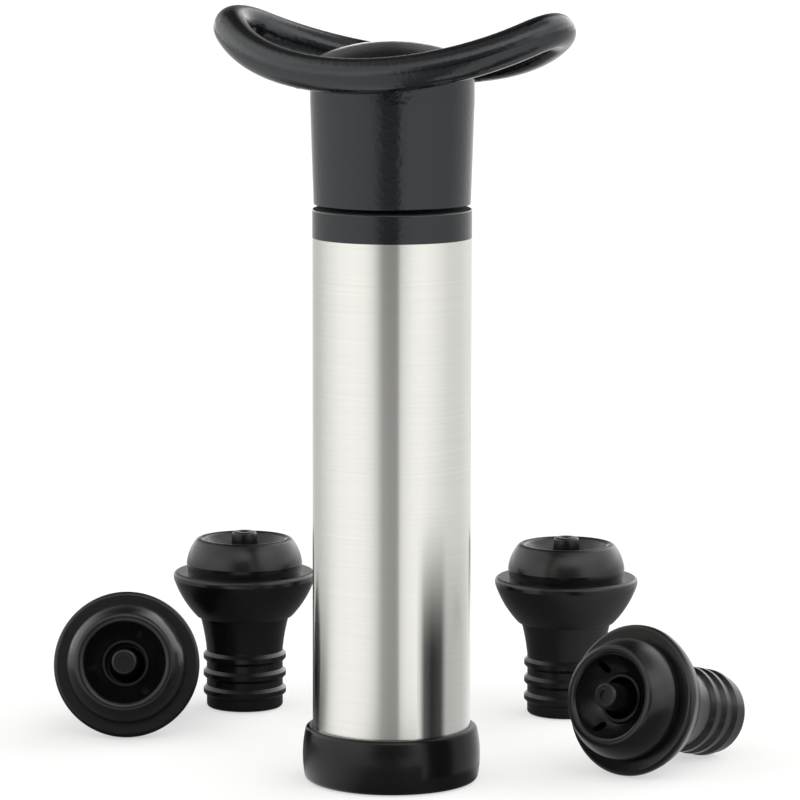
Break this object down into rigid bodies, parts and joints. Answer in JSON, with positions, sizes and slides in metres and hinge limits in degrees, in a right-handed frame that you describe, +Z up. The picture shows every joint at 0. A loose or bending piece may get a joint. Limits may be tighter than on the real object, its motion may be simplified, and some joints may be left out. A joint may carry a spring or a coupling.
{
  "type": "wine vacuum pump",
  "caption": "Hand pump that draws the air out of an opened wine bottle, with a brushed steel barrel, a looped pull handle and rubber bottle stoppers.",
  "frame": {"origin": "centre of the pump's mouth, in the plane of the base ring's underside, on which the pump stands", "axes": "+Z up the pump's axis towards the handle, -Y towards the viewer of the picture, +X to the viewer's right. The loop of the handle is turned 26.7 degrees clockwise from X, seen from above"},
  "size_m": [0.1568, 0.1241, 0.1685],
  "materials": {
    "black_moulding": "satin black with a fine moulded grain",
    "steel_sleeve": "brushed round the tube",
    "inner_moulding": "smooth dark grey",
    "rod_moulding": "smooth black",
    "soft_seal": "soft matt",
    "stopper_rubber": "satin black",
    "fastener_steel": "bright plated"
  },
  "bodies": {
    "barrel": {"base_ring": "black_moulding", "mouth_seal": "soft_seal", "cylinder": "inner_moulding", "outer_sleeve": "steel_sleeve", "collar": "black_moulding", "rod_guide": "inner_moulding"},
    "piston": {"piston": "inner_moulding", "stop_washer": "soft_seal"},
    "ring": {"piston_ring": "soft_seal"},
    "handle": {"piston_rod": "rod_moulding", "piston_washer": "fastener_steel", "piston_screw": "fastener_steel", "handle": "black_moulding", "handle_screw": "fastener_steel", "handle_cap": "black_moulding"},
    "stopper_left_rear": {"stopper_left_rear": "stopper_rubber"},
    "valve_left_rear": {"valve_left_rear": "stopper_rubber"},
    "stopper_right_rear": {"stopper_right_rear": "stopper_rubber"},
    "valve_right_rear": {"valve_right_rear": "stopper_rubber"},
    "stopper_left_front": {"stopper_left_front": "stopper_rubber"},
    "valve_left_front": {"valve_left_front": "stopper_rubber"},
    "stopper_right_front": {"stopper_right_front": "stopper_rubber"},
    "valve_right_front": {"valve_right_front": "stopper_rubber"}
  },
  "joints": [
    {"name": "handle_pull", "type": "slide", "parent": "barrel", "child": "piston", "axis": [0, 0, 1], "range_m": [0, 0.0837]},
    {"name": "ring_float", "type": "slide", "parent": "piston", "child": "ring", "axis": [0, 0, 1], "range_m": [0, 0.001]},
    {"name": "handle_turn", "type": "hinge", "parent": "piston", "child": "handle", "pos_m": [0, 0, 0], "axis": [0, 0, 1], "continuous": true},
    {"name": "lift_left_rear", "type": "slide", "parent": "barrel", "child": "stopper_left_rear", "axis": [0, 0, 1], "range_m": [0, 0.045]},
    {"name": "valve_lift_left_rear", "type": "slide", "parent": "stopper_left_rear", "child": "valve_left_rear", "axis": [0, 0, 1], "range_m": [0, 0.001]},
    {"name": "lift_right_rear", "type": "slide", "parent": "barrel", "child": "stopper_right_rear", "axis": [0, 0, 1], "range_m": [0, 0.045]},
    {"name": "valve_lift_right_rear", "type": "slide", "parent": "stopper_right_rear", "child": "valve_right_rear", "axis": [0, 0, 1], "range_m": [0, 0.001]},
    {"name": "lift_left_front", "type": "slide", "parent": "barrel", "child": "stopper_left_front", "axis": [0, 0, 1], "range_m": [0, 0.045]},
    {"name": "valve_lift_left_front", "type": "slide", "parent": "stopper_left_front", "child": "valve_left_front", "axis": [0, -0.9686, 0.2486], "range_m": [0, 0.001]},
    {"name": "lift_right_front", "type": "slide", "parent": "barrel", "child": "stopper_right_front", "axis": [0, 0, 1], "range_m": [0, 0.045]},
    {"name": "valve_lift_right_front", "type": "slide", "parent": "stopper_right_front", "child": "valve_right_front", "axis": [-0.6226, -0.742, 0.2486], "range_m": [0, 0.001]}
  ]
}
